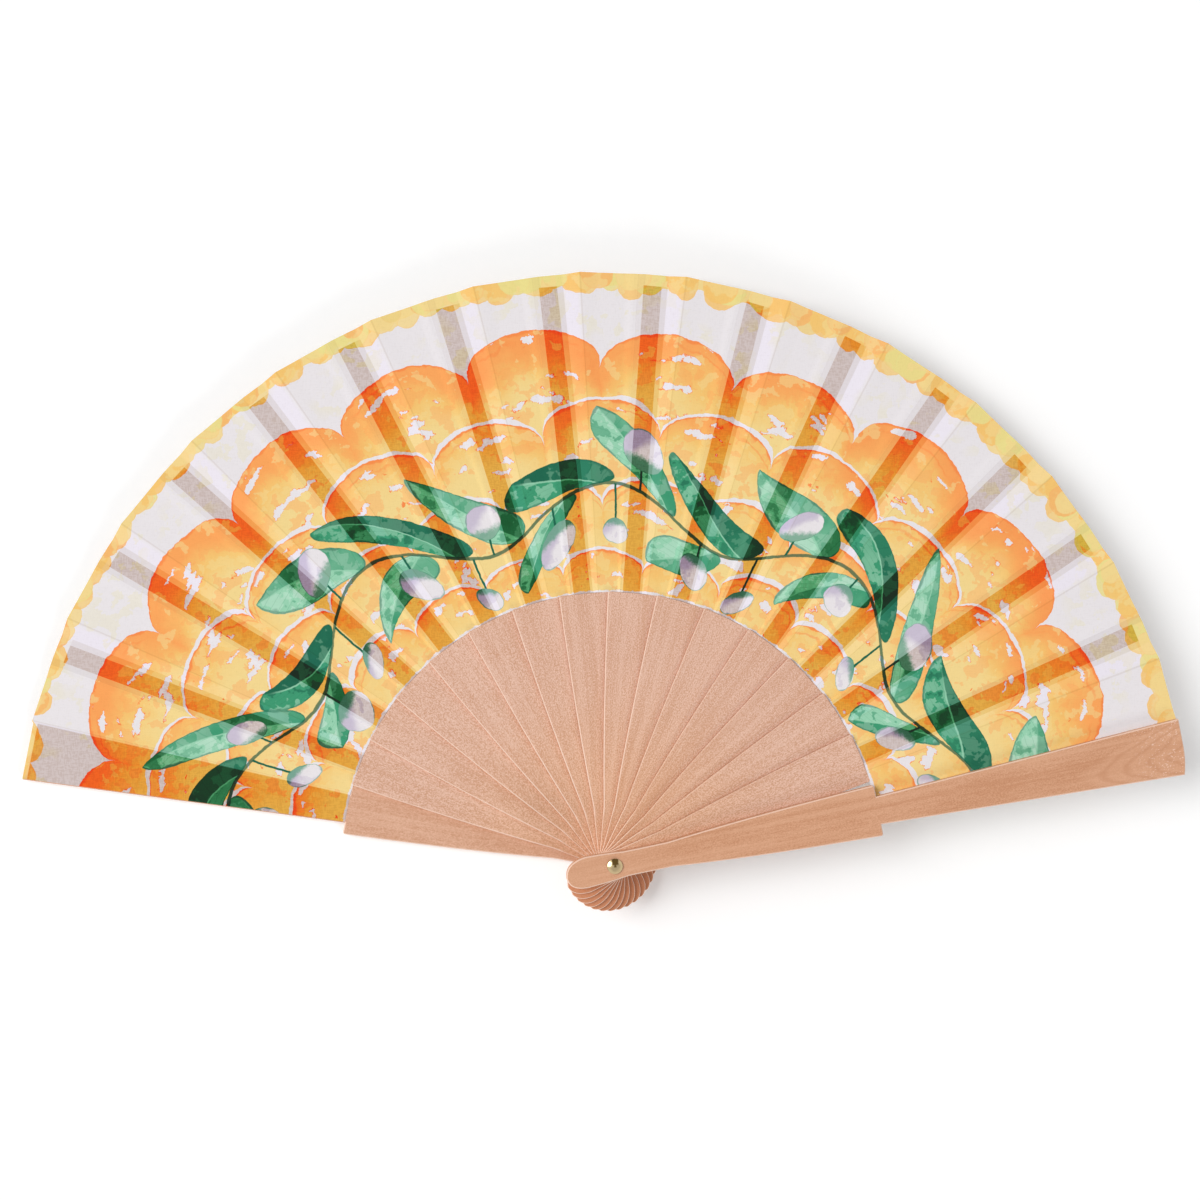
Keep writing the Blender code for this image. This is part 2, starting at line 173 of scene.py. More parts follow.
class Field:
    """A number that varies over a surface. Arithmetic on it adds Math nodes to its graph."""

    def __init__(self, graph, socket):
        self.graph = graph
        self.socket = socket

    def __add__(self, other):
        return self.graph.math("ADD", self, other)

    def __sub__(self, other):
        return self.graph.math("SUBTRACT", self, other)

    def __rsub__(self, other):
        return self.graph.math("SUBTRACT", other, self)

    def __mul__(self, other):
        return self.graph.math("MULTIPLY", self, other)

    def __truediv__(self, other):
        return self.graph.math("DIVIDE", self, other)

    def __pow__(self, other):
        return self.graph.math("POWER", self, other)

    def __abs__(self):
        return self.graph.math("ABSOLUTE", self)

    __radd__ = __add__
    __rmul__ = __mul__


class Graph:
    """The node tree of a material or of the world, built by short calls."""

    def __init__(self, owner, shader="Principled BSDF"):
        owner.use_nodes = True
        self.owner = owner
        self.nodes = owner.node_tree.nodes
        self.links = owner.node_tree.links
        self.shader = self.nodes[shader]

    def feed(self, socket, value):
        """Links a field or a colour to a socket, or sets the socket's own value."""
        if isinstance(value, Field):
            value = value.socket
        if isinstance(value, bpy.types.NodeSocket):
            self.links.new(value, socket)
        else:
            socket.default_value = value

    def node(self, kind, **inputs):
        """Adds a node and feeds the inputs that are named, with _ for a space in their names."""
        node = self.nodes.new(kind)
        for name, value in inputs.items():
            self.feed(node.inputs[name.replace("_", " ")], value)
        return node

    def math(self, operation, *values):
        node = self.nodes.new("ShaderNodeMath")
        node.operation = operation
        for socket, value in zip(node.inputs, values):
            self.feed(socket, value)
        return Field(self, node.outputs[0])

    def coordinates(self, output):
        """One of the surface's own coordinates, such as Object."""
        return self.nodes.new("ShaderNodeTexCoord").outputs[output]

    def uv(self, name):
        node = self.nodes.new("ShaderNodeUVMap")
        node.uv_map = name
        return node.outputs[0]

    def split(self, vector):
        node = self.node("ShaderNodeSeparateXYZ", Vector=vector)
        return [Field(self, output) for output in node.outputs]

    def join(self, x, y, z=0.0):
        return self.node("ShaderNodeCombineXYZ", X=x, Y=y, Z=z).outputs[0]

    def turned(self, vector, angle_deg, place=(0, 0, 0), scale=(1, 1, 1)):
        """Coordinates turned about Z, moved, and scaled along their own axes."""
        turn = self.node("ShaderNodeMapping", Vector=vector, Rotation=(0, 0, math.radians(angle_deg)))
        return self.node("ShaderNodeMapping", Vector=turn.outputs[0], Location=place, Scale=scale).outputs[0]

    def noise(self, vector, scale, detail=2.0, roughness=0.5):
        """Smooth noise from 0 to 1. The scale is in waves to a metre."""
        node = self.node("ShaderNodeTexNoise", Vector=vector, Scale=scale, Detail=detail, Roughness=roughness)
        return Field(self, node.outputs[0])

    def warped(self, vector, scale, amount):
        """Coordinates shifted by noise, by about half the amount each way."""
        node = self.node("ShaderNodeTexNoise", Vector=vector, Scale=scale, Detail=3.0)
        shift = self.nodes.new("ShaderNodeVectorMath")
        shift.operation = "MULTIPLY_ADD"
        self.feed(shift.inputs[0], node.outputs[1])
        shift.inputs[1].default_value = (amount, amount, 0)
        self.feed(shift.inputs[2], vector)
        return shift.outputs[0]

    def random(self, number):
        """A value from 0 to 1 that stays the same for each whole number."""
        node = self.nodes.new("ShaderNodeTexWhiteNoise")
        node.noise_dimensions = "1D"
        self.feed(node.inputs["W"], number)
        return Field(self, node.outputs[0])

    def clamp(self, field):
        field = self.math("ADD", field, 0.0)
        field.socket.node.use_clamp = True
        return field

    def cells(self, field):
        """Each point's cell as a whole number, and its place in the cell from -0.5 to 0.5."""
        cell = self.math("FLOOR", field)
        return cell, field - cell - 0.5

    def polar(self, vector):
        """The distance from the Z axis, and the turn about it."""
        x, y = self.split(vector)[:2]
        return hypot(x, y), self.math("ARCTAN2", y, x)

    def seen(self):
        """1 for rays from the camera, straight or by way of metal or glass, and 0 for those of light."""
        rays = self.nodes.new("ShaderNodeLightPath").outputs
        straight_or_shiny = self.math("MAXIMUM", rays["Is Camera Ray"], rays["Is Glossy Ray"])
        return self.math("MAXIMUM", straight_or_shiny, rays["Is Transmission Ray"])

    def smooth(self, low, high, field):
        """Rises smoothly from 0 at low to 1 at high, or falls where low is the greater."""
        node = self.nodes.new("ShaderNodeMapRange")
        node.interpolation_type = "SMOOTHSTEP"
        for socket, value in zip(node.inputs, (field, low, high)):
            self.feed(socket, value)
        return Field(self, node.outputs[0])

    def groove(self, reach):
        """Rises from 0 on open wood to about 1 deep in a corner with a neighbour nearer than the reach."""
        node = self.node("ShaderNodeAmbientOcclusion", Distance=reach)
        node.samples = GROOVE_SAMPLES
        return 1 - Field(self, node.outputs["AO"])

    def paint(self, share, under, over, blend="MIX"):
        """Lays one colour over another, where share is 1."""
        node = self.nodes.new("ShaderNodeMix")
        node.data_type = "RGBA"
        node.blend_type = blend
        self.feed(node.inputs[0], share)
        self.feed(node.inputs[MIX_A], under)
        self.feed(node.inputs[MIX_B], over)
        return node.outputs[MIX_RESULT]

    def deepened(self, color, gamma):
        return self.node("ShaderNodeGamma", Color=color, Gamma=gamma).outputs[0]

    def finish(self, color, roughness, relief=None, depth=0.0):
        """Feeds the shader its colour, its roughness and a bump from a height field, in metres."""
        self.feed(self.shader.inputs["Base Color"], color)
        self.feed(self.shader.inputs["Roughness"], roughness)
        if relief is not None:
            bump = self.node("ShaderNodeBump", Height=relief, Distance=depth)
            self.feed(self.shader.inputs["Normal"], bump.outputs[0])
        return self.owner


def dress(node, material):
    """Gives a model node its material in place of the plain one."""
    slots = frame["nodes"][node].material_slots
    for slot in slots:
        slot.material = material


# The wood's grain, in waves to a metre along it and across it
FLECK_WAVES = (1700, 2700)
FIBRE_WAVES = (150, 2600)
STREAK_WAVES = (7, 420)
CLOUD_WAVES = (25, 70)
PORE_WAVES = (500, 3600)
CHIP_WAVES = (1200, 1900)
GRAIN_ROUGHNESS = 0.6

# How strongly each kind of grain shows, and how much calmer the flecks are on the guards
FIBRE_CONTRAST = 1.2
CLOUD_CONTRAST = 0.7
LIGHT_STREAKS = (0.5, 0.68)
DARK_STREAKS = (0.5, 0.32)
STICK_STREAKS = 0.3
GUARD_STREAKS = 0.55
GUARD_CALM = 0.58
PORES = (0.60, 0.74)
PORE_SHARE = 0.25

# A guard's figure of flames, its chipped end and its paler head
FLAME_START = 0.168
FLAME_PITCH = 110
FLAME_SPREAD = 2.8
FLAME_BEND = 1.4
FLAME_SIDE = 0.003
FLAME_CLOUD = 2.4
FLAME_SHARE = 0.45
CHIPS = (0.60, 0.66)
CHIPPED_REACHES = (0.186, 0.206)
CHIP_SHARE = 0.8
GUARD_HEAD_REACHES = (0.03, -0.005)
GUARD_HEAD_SHARE = 0.4

# A stick's redder wood towards the rivet, its head, and the painted shade in its grooves, which deepens to
# the right of the fan
RIVET_REACHES = (0.080, 0.010)
RIVET_TINT = (1.0, 0.93, 0.79, 1.0)
HEAD_REACHES = (-0.001, -0.007)
HEAD_SHARE = 0.75
GROOVE_REACH = 0.0008
GROOVE_SAMPLES = 6
GROOVE_DEPTHS = (0.15, 0.75)
GROOVE_SHARES = (0.5, 1.0)
GROOVED_BOARDS = (7, 13)
HEAD_GROOVE_SHARE = 0.6

# The curve of a stick's edge from its neck to the end of its gorge part, and the pale line along it: worn
# wood and a painted highlight that fades towards the right of the fan
FLARE_START = 0.020
FLARE_LENGTH = 0.0761
FLARE_HALF_WIDTH = 0.00445
FLARE_GAIN = 0.00475
FLARE_BOW = 1.455
NECK_FADE = 0.005
EDGE_LINE = (0.0005, 0.0002)
EDGE_WEAR_AND_HIGHLIGHT = (0.95, 0.25)
HIGHLIGHT_FADE_BOARDS = (9, 12)

# How far a surface faces up or down: off the upright sides, and off the flat faces
OFF_SIDES = (0.3, 0.6)
OFF_FACES = (0.95, 0.85)

# The parts of the fibres and the flecks in the open grain's relief, and the wood's roughness
RELIEF_SHARES = (0.6, 0.4)
WOOD_ROUGHNESS = (0.395, 0.645)


class Board:
    """The wood of a guard or a stick, in its own frame: along it from the rivet, and across to the left."""

    def __init__(self, name, tone, settings, axis_deg, number):
        self.graph = graph = Graph(bpy.data.materials.new(name))
        self.settings = settings
        self.axis_deg = axis_deg
        self.number = number
        self.here = graph.coordinates("Object")
        self.along, self.across = graph.split(graph.turned(self.here, -axis_deg))[:2]
        normal = graph.nodes.new("ShaderNodeNewGeometry").outputs["True Normal"]
        facing = abs(graph.split(normal)[2])
        self.upward = graph.smooth(*OFF_SIDES, facing)
        self.eased = self.upward * graph.smooth(*OFF_FACES, facing)
        self.fleck = self.grain(FLECK_WAVES)
        self.fibre = self.grain(FIBRE_WAVES, 3.0)
        self.cloud = self.grain(CLOUD_WAVES)
        self.dark = shaded(tone, settings.dark_factors)
        self.light = shaded(tone, settings.light_factors)
        self.pale = srgb(settings.edge_wood)

    def grain(self, waves, detail=2.0):
        """Noise drawn out along the wood, from a place of its own in the board."""
        shift = self.settings.board_shift * self.number
        scale = (waves[0], waves[1], waves[1])
        place = self.graph.turned(self.here, -self.axis_deg, (shift, shift, 0), scale)
        return self.graph.noise(place, 1.0, detail, GRAIN_ROUGHNESS)

    def lay(self, share, color, blend="MIX"):
        self.color = self.graph.paint(share, self.color, color, blend)

    def sand(self, calm, streaks):
        """Flecks, fibres and clouds between the dark and the light grain, long streaks and dark pores."""
        graph = self.graph
        flecks = (self.fleck - 0.5) * (self.settings.fleck_contrast * calm)
        fibres = (self.fibre - 0.5) * FIBRE_CONTRAST
        clouds = (self.cloud - 0.5) * CLOUD_CONTRAST
        self.color = graph.paint(graph.clamp(flecks + fibres + clouds + 0.5), self.dark, self.light)
        streak = self.grain(STREAK_WAVES, 3.0)
        self.lay(graph.smooth(*LIGHT_STREAKS, streak) * streaks, self.light)
        self.lay(graph.smooth(*DARK_STREAKS, streak) * streaks, self.dark)
        self.lay(graph.smooth(*PORES, self.grain(PORE_WAVES, 1.0)) * PORE_SHARE, self.dark)

    def figure(self):
        """A guard's figure of flames towards its tip, its chipped end and its paler head."""
        graph = self.graph
        side = abs(self.across + FLAME_SIDE) / BLADE_HALF_WIDTHS[1]
        arch = (self.along - FLAME_START) * FLAME_PITCH - side ** FLAME_BEND * FLAME_SPREAD
        arch = arch + (self.cloud - 0.5) * FLAME_CLOUD
        ring = abs(graph.math("FRACT", arch) - 0.5) * 2
        self.lay(graph.smooth(0.0, 0.8, arch) * FLAME_SHARE, self.light)
        self.lay(graph.smooth(0.45, 1.0, ring) * graph.smooth(0.0, 0.3, arch) * FLAME_SHARE, self.dark)
        chip = graph.smooth(*CHIPS, self.grain(CHIP_WAVES)) * graph.smooth(*CHIPPED_REACHES, self.along)
        self.lay(chip * CHIP_SHARE, self.pale)
        self.lay(graph.smooth(*GUARD_HEAD_REACHES, self.along) * GUARD_HEAD_SHARE, self.light)

    def shade(self):
        """A stick's redder wood towards the rivet, its handled head and painted shade in the grooves beside
        its neighbours.
        """
        graph, painted_shade = self.graph, srgb(self.settings.groove_shade_color)
        self.head = graph.smooth(*HEAD_REACHES, self.along)
        self.lay(graph.smooth(*RIVET_REACHES, self.along), RIVET_TINT, "MULTIPLY")
        self.lay(self.head * HEAD_SHARE, srgb(self.settings.head_color))
        # Painted shade: darkens the wood where ambient occlusion finds a neighbour close by, more towards the
        # right of the fan and more on the head
        groove = graph.smooth(*GROOVE_DEPTHS, graph.groove(GROOVE_REACH))
        self.lay(groove * across_fan(GROOVE_SHARES, GROOVED_BOARDS, self.number), painted_shade, "MULTIPLY")
        self.lay(groove * self.head * HEAD_GROOVE_SHARE, painted_shade, "MULTIPLY")

    def stick_wear_and_highlight(self):
        """The pale line along the edge of the gorge part, worn wood and a painted highlight, and the eased
        edges of the neck and the head.
        """
        graph = self.graph
        flare = (self.along - FLARE_START) / FLARE_LENGTH
        half = flare * (FLARE_BOW - flare * (FLARE_BOW - 1)) * FLARE_GAIN + FLARE_HALF_WIDTH
        line = graph.smooth(*EDGE_LINE, half - abs(self.across)) * self.upward
        # Painted highlight: the edge line is strongest on the sticks to the left of the fan, where the lamp
        # lights it, and fades to the right
        worn = across_fan(EDGE_WEAR_AND_HIGHLIGHT, HIGHLIGHT_FADE_BOARDS, self.number)
        neck = graph.smooth(FLARE_START, FLARE_START - NECK_FADE, self.along)
        edges = self.eased * neck * (self.head * self.settings.head_wear + self.settings.edge_wear)
        return line * (1 - neck) * worn + edges

    def finish(self, wear):
        """Wears the edges pale, with a painted highlight on a stick's edge line, and returns the material,
        with its open grain.
        """
        self.lay(self.graph.clamp(wear), self.pale)
        relief = self.fibre * RELIEF_SHARES[0] + self.fleck * RELIEF_SHARES[1]
        roughness = between(WOOD_ROUGHNESS, self.fleck)
        return self.graph.finish(self.color, roughness, relief, self.settings.grain_depth)


class FanWoodSettings(bpy.types.PropertyGroup):
    stick_color: color_setting("Stick wood", "Sanded wood of the inner sticks", (0.874, 0.698, 0.602))
    guard_color: color_setting("Front guard wood", "Satin wood of the front guard", (0.828, 0.610, 0.470))
    rear_color: color_setting("Rear guard wood", "Paler wood of the rear guard", (0.845, 0.645, 0.525))
    head_color: color_setting("Stick heads", "Handled, darker wood of the heads", (0.770, 0.470, 0.300))
    # Painted shade: the colour that the wood in a groove beside a neighbour is multiplied by
    groove_shade_color: color_setting(
        "Grooves", "What dust leaves of the wood's colour beside a neighbour", (0.800, 0.660, 0.580))
    # Also the colour of the painted highlight on a stick's edge line
    edge_wood: color_setting(
        "Eased edges", "Sanded edges, where the finish is worn thin", (0.960, 0.830, 0.750))
    edge_wear: share_setting("Edge wear", "How far the eased edges of a stick's neck and head go pale", 0.7)
    head_wear: share_setting("Head wear", "How much paler still they go on the head", 0.75)
    guard_wear: share_setting("Guard wear", "How far the guards' eased edges go pale", 0.8)
    dark_factors: bpy.props.FloatVectorProperty(
        name="Dark grain", description="The wood's colour times this is its dark grain", size=3,
        min=0, max=2, default=(0.915, 0.860, 0.800))
    light_factors: bpy.props.FloatVectorProperty(
        name="Light grain", description="The wood's colour times this is its light grain", size=3,
        min=0, max=2, default=(1.050, 1.090, 1.130))
    fleck_contrast: bpy.props.FloatProperty(
        name="Fleck contrast", description="Strength of the fine flecks", min=0, max=20, default=4.3)
    grain_depth: length_setting("Grain depth", "Depth of the open grain", 0.00004)
    board_shift: bpy.props.FloatProperty(
        name="Board shift", description="How far apart in the board two sticks were cut", min=0, max=100,
        default=7.3)


class FAN_OT_finish_wood(bpy.types.Operator):
    """Give the guards and sticks their grained wood"""

    bl_idname = "fan.finish_wood"
    bl_label = "Finish Wood"

    def execute(self, context):
        settings = context.scene.fan_wood
        for count, (node, axis_deg) in enumerate(zip(WOODS, AXES_DEG)):
            tone = {0: settings.rear_color, LAST: settings.guard_color}.get(count, settings.stick_color)
            board = Board(f"{node}_wood", tone, settings, axis_deg, count + 1)
            if count in (0, LAST):
                board.sand(GUARD_CALM, GUARD_STREAKS)
                board.figure()
                wear = board.eased * settings.guard_wear
            else:
                board.sand(1.0, STICK_STREAKS)
                board.shade()
                wear = board.stick_wear_and_highlight()
            dress(node, board.finish(wear))
        return {"FINISHED"}


class FanRivetSettings(bpy.types.PropertyGroup):
    brass_color: color_setting("Brass", "Polished brass of the rivet", (0.790, 0.700, 0.540))
    # Painted reflections: the colours of the dome's dim middle and of the dark bar on it
    dim_reflection_color: color_setting("Dulled brass", "Brass under a thin grey film", (0.640, 0.570, 0.440))
    dark_reflection_color: color_setting("Tarnish", "Brown film on the brass", (0.370, 0.290, 0.150))


# The dome's dull middle, painted darker as a reflection, and a painted dark reflection on it: a bar with a
# stem below, each from its full strength to nothing or the other way, in metres from the middle
DULL_AND_DIM_REACHES = (0.0024, 0.0012)
DIM_REFLECTION_SHARE = 0.8
BAR_ENDS = (0.0014, 0.0009)
BAR_FOOT = (0.0003, 0.0008)
STEM_SIDES = (0.0006, 0.0002)
STEM_FOOT = (-0.0005, 0.0)
REFLECTION_EDGE_WAVES = 900
REFLECTION_EDGE_WANDER = 0.0012
SCRATCH_WAVES = (900, 9000, 900)
SCRATCH_TURN_DEG = 35
SCRATCH_DEPTH = 0.00002
BRASS_ROUGHNESS = (0.10, 0.25)


class FAN_OT_polish_rivet(bpy.types.Operator):
    """Give the rivet and its burr their brass, with painted dark reflections on the dome"""

    bl_idname = "fan.polish_rivet"
    bl_label = "Polish Rivet"

    def execute(self, context):
        settings = context.scene.fan_rivet
        graph = Graph(bpy.data.materials.new("brass_with_painted_reflections"))
        here = graph.coordinates("Object")
        x, y = graph.split(here)[:2]
        blot = (graph.noise(here, REFLECTION_EDGE_WAVES, 3.0) - 0.5) * REFLECTION_EDGE_WANDER
        middle = graph.smooth(*DULL_AND_DIM_REACHES, hypot(x, y) + blot)
        bar = graph.smooth(*BAR_ENDS, abs(x) + blot) * graph.smooth(*BAR_FOOT, y + blot)
        stem = graph.smooth(*STEM_SIDES, abs(x) + blot) * graph.smooth(*STEM_FOOT, y)
        painted_reflection = graph.math("MAXIMUM", bar, stem)
        scratch = graph.noise(graph.turned(here, SCRATCH_TURN_DEG, scale=SCRATCH_WAVES), 1.0)
        # Painted reflection: the dome's middle goes dimmer and a dark bar with a stem lies on it, as the
        # brass would mirror dark surroundings
        color = graph.paint(middle * DIM_REFLECTION_SHARE, srgb(settings.brass_color), srgb(settings.dim_reflection_color))
        color = graph.paint(painted_reflection, color, srgb(settings.dark_reflection_color))
        graph.shader.inputs["Metallic"].default_value = 1.0
        material = graph.finish(color, between(BRASS_ROUGHNESS, middle), scratch, SCRATCH_DEPTH)
        for node in ("rivet", "rivet_burr"):
            dress(node, material)
        return {"FINISHED"}


class FanLeafSettings(bpy.types.PropertyGroup):
    cloth_thickness: length_setting("Cloth thickness", "Thickness of the printed cotton", 0.00014)
    glue_lift: length_setting("Glue lift", "Height of the cloth's middle over its wood", 0.00011)
    ridge_rise: length_setting("Ridge rise", "Height of a ridge over its slip, at the rim", 0.00100)
    first_rise: length_setting("First ridge rise", "Height of the first ridge over the rear guard", 0.00055)
    tuck_rise: length_setting("Tuck rise", "Height of a fold's half that tucks under the next slip", 0.00074)
    first_tuck_rise: length_setting("First tuck rise", "Height of the first fold's far half", 0.00036)
    valley_drop: length_setting("Valley drop", "Depth of a valley under the slip on its right", 0.00045)
    ripple: length_setting("Ripple", "Height of the cloth's soft unevenness", 0.00012)
    rim_peak: length_setting("Rim peak", "How far the rim stands out at a ridge", 0.0005)


# The leaf's ends, and how far across from a stick's axis its creases lie, at the root and at the rim
LEAF_ROOT = GORGE_REACH + 0.00015
LEAF_RIM = BLADE_REACH + STRIP_GAP
VALLEY_ACROSS = (0.00475, 0.0086)
RIDGE_ACROSS = (0.0051, 0.0100)
FLAT_ACROSS = (0.0010, 0.0027)
EDGE_ACROSS = 0.0004
WALL_ACROSS = (0.0008, 0.0024)
CREASE_ACROSS = 0.0007
TUCK_SHARES = ((0.30, 0.86), (0.35, 0.80))

# How far the rear guard's shade in the cloth and the leaf's tucked end stop short of the blades' reach
BLADE_END_ROUND = 0.0014
LEAF_END_SHORT = 0.002

# The rows of a gore's mesh, its points between two stations, and the waves of its unevenness
ROWS = 40
COLUMN_SHARES = (0.05, 0.2, 0.4, 0.6, 0.8, 0.95)
RIPPLE_WAVES = (90, 260)

# The width of a gap's cloth laid flat, in widths of the gap at the rim, which is worked out but not used. It
# allows more for the folds than the modelled cloth has
FLAT_WIDTH_SHARE = 1.15

# The stations of a gore's row: valley, foot of the slip's wall, slip's two edges, end of the flat, ridge,
# the tucked stretch, and the next valley
FOOT, SLIP_LEFT, SLIP_RIGHT, FLAT_END, RIDGE, TUCK_START, TUCK_END, END = range(1, 9)


def seat_height(count):
    """Top of the wood that the leaf is glued to, or the underside of the front guard's blade."""
    low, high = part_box(STRIPS[count])
    return high.z + STRIP_GAP if count == LAST else low.z - STRIP_GAP


def half_width(count, share):
    return between(BLADE_HALF_WIDTHS, share) if count in (0, LAST) else SLIP_HALF_WIDTH


def lean(count, share):
    return 0.0 if count in (0, LAST) else between(SLIP_LEANS, share)


def on_stick(count, reach, across, height):
    """A point given in a stick's own frame: its distance from the rivet, and across to the left."""
    along = math.sqrt(reach ** 2 - across ** 2)
    return Matrix.Rotation(math.radians(AXES_DEG[count]), 3, "Z") @ Vector((along, across, height))


def valley(count, share, settings):
    """The valley crease on the left of a stick, where the leaf of the gap before it ends."""
    reach = between((LEAF_ROOT, LEAF_RIM), share)
    if count == LAST:
        across = half_width(count, share) - CREASE_ACROSS
        return on_stick(count, reach, across, seat_height(count) - settings.glue_lift)
    height = seat_height(count) + settings.glue_lift - settings.valley_drop
    return on_stick(count, reach, between(VALLEY_ACROSS, share), height)


def gore_stations(count, share, settings):
    """The points where a row of a gore bends, from its left edge to the valley of the next stick.

    Each comes with its station's number, so that the ridge and the slip's edges can be told.
    """
    reach = between((LEAF_ROOT, LEAF_RIM), share)
    size = reach / LEAF_RIM
    seat = seat_height(count) + settings.glue_lift
    middle, half = lean(count, share), half_width(count, share)
    is_first = count == 0
    rise = (settings.first_rise if is_first else settings.ridge_rise) * size
    tuck_rise = settings.first_tuck_rise if is_first else settings.tuck_rise
    ridge_across = half + CREASE_ACROSS if is_first else between(RIDGE_ACROSS, share)
    flat = middle - half - (0 if is_first else between(FLAT_ACROSS, share))

    stations = []
    if is_first:
        stations.append((on_stick(count, reach, half - STRIP_GAP, seat), SLIP_LEFT))
    else:
        edge = middle + half + EDGE_ACROSS
        start = valley(count, share, settings)
        stations.append((start, 0))
        stations.append((on_stick(count, reach, edge + between(WALL_ACROSS, share), start.z), FOOT))
        stations.append((on_stick(count, reach, edge, seat), SLIP_LEFT))
    stations.append((on_stick(count, reach, middle - half, seat), SLIP_RIGHT))
    if not is_first:
        stations.append((on_stick(count, reach, flat, seat), FLAT_END))
    ridge = on_stick(count, reach + settings.rim_peak * share, -ridge_across, seat + rise)
    stations.append((ridge, RIDGE))
    end = valley(count + 1, share, settings)
    for station, root_share, rim_share in zip((TUCK_START, TUCK_END), *TUCK_SHARES):
        tuck = ridge.lerp(end, between((root_share, rim_share), share))
        tuck.z = seat + min(tuck_rise, rise)
        stations.append((tuck, station))
    stations.append((end, END))
    return stations


def gore_row(count, share, settings):
    """One row of the gore's points, each with its station, which runs on between two stations."""
    stations = gore_stations(count, share, settings)
    points = [stations[0]]
    for (start, first), (end, last) in zip(stations[:-1], stations[1:]):
        soft = first in (RIDGE, TUCK_END)
        for column in COLUMN_SHARES:
            point = start.lerp(end, column)
            if soft:
                point.z = between((start.z, end.z), eased_share(column))
            points.append((point, between((first, last), column)))
        points.append((end, last))
    return points


def turn_of(point):
    return math.atan2(point.y, point.x)


def rippled(point, columns, column, share, settings):
    """Lifts a point by soft noise that dies out at the gore's two long edges."""
    fade = math.sin(math.pi * column / (columns - 1)) * share
    wide, fine = RIPPLE_WAVES
    lift = noise.noise(Vector((point.x * wide, point.y * wide, 0.3))) + 0.5 * noise.noise(point * fine)
    return point + Vector((0, 0, settings.ripple * lift * fade))


def gore_mesh(name, count, settings):
    """One gore of the leaf and the share of the joint's turn that each of its points takes."""
    vertices, weights, prints, folds = [], [], [], []
    for row in range(ROWS + 1):
        share = row / ROWS
        points = gore_row(count, share, settings)
        ridge_turn = next(turn_of(point) for point, station in points if station == RIDGE)
        end_turn = turn_of(points[-1][0])
        for column, (point, station) in enumerate(points):
            vertices.append(rippled(point, len(points), column, share, settings))
            past = max(0.0, (turn_of(point) - ridge_turn) / (end_turn - ridge_turn))
            weights.append(past if station > RIDGE else 0.0)
            prints.append((point.x, point.y))
            folds.append((station, inside_tip(count, point)))
    mesh = grid_mesh(name, vertices, len(vertices) // (ROWS + 1))
    add_uv(mesh, "print", prints)
    add_uv(mesh, "fold", folds)
    return mesh, weights


def inside_tip(count, point):
    """How far a point is short of the far end of the wood under the leaf, in half widths of a slip."""
    local = Matrix.Rotation(-math.radians(AXES_DEG[count]), 3, "Z") @ point
    end = BLADE_REACH - BLADE_END_ROUND if count == 0 else SLIP_REACH
    return (end - local.x) / SLIP_HALF_WIDTH


def grid_mesh(name, vertices, columns):
    """A smooth sheet from rows of points, with sharp edges all round so that its rim stays crisp."""
    rows = len(vertices) // columns
    faces = []
    for row in range(rows - 1):
        for column in range(columns - 1):
            corner = row * columns + column
            faces.append((corner, corner + 1, corner + columns + 1, corner + columns))
    mesh = bpy.data.meshes.new(name)
    mesh.from_pydata(vertices, [], faces)
    mesh.shade_smooth()
    last_row = (rows - 1) * columns
    for edge in mesh.edges:
        first, second = edge.vertices
        along_row = second - first in (1, -1)
        on_end = first < columns and second < columns or first >= last_row and second >= last_row
        on_side = not along_row and first % columns in (0, columns - 1)
        edge.use_edge_sharp = on_side or along_row and on_end
    return mesh


def add_uv(mesh, name, places):
    """Stores a pair of numbers for each vertex as a UV map."""
    layer = mesh.uv_layers.new(name=name)
    for loop in mesh.loops:
        layer.data[loop.index].uv = places[loop.vertex_index]


class FanPrintSettings(bpy.types.PropertyGroup):
    ground: color_setting("Ground", "Unprinted cotton", (0.925, 0.905, 0.915))
    pale_yellow: color_setting("Pale yellow", "Thin yellow wash", (0.965, 0.852, 0.570))
    yellow: color_setting("Yellow", "Full yellow wash", (0.972, 0.782, 0.445))
    orange: color_setting("Orange", "Orange wash", (0.990, 0.655, 0.360))
    coral: color_setting("Coral", "Deepest wash and the washes' dried edges", (0.980, 0.545, 0.280))
    dark_green: color_setting("Dark green", "Shaded half of a printed leaf", (0.075, 0.390, 0.290))
    green: color_setting("Green", "Body of a printed leaf", (0.230, 0.600, 0.440))
    mint: color_setting("Mint", "Lit half of a printed leaf", (0.600, 0.830, 0.700))
    pale_mint: color_setting("Pale mint", "Thin green wash", (0.780, 0.910, 0.830))
    olive: color_setting("Olive", "Pale olive yellow of the border", (0.920, 0.880, 0.560))
    lilac: color_setting("Lilac", "Shade on the white berries", (0.800, 0.760, 0.830))


# How a loose and a tight hand wander, in waves to a metre and in metres
LOOSE_HAND = ((70, 0.0034), (420, 0.0012))
TIGHT_HAND = ((45, 0.0022), (500, 0.0006))

# The waves of the wide washes, the blots and the grit
WASH_WAVES = 48
BLOT_WAVES = 150
GRIT_WAVES = 700

# How soft a painted outline and a dried edge are, and a dried edge's least and greatest share of its width
CRISP = 0.0002
DRIED = 0.00015
DRIED_WIDTHS = (0.25, 1.25)

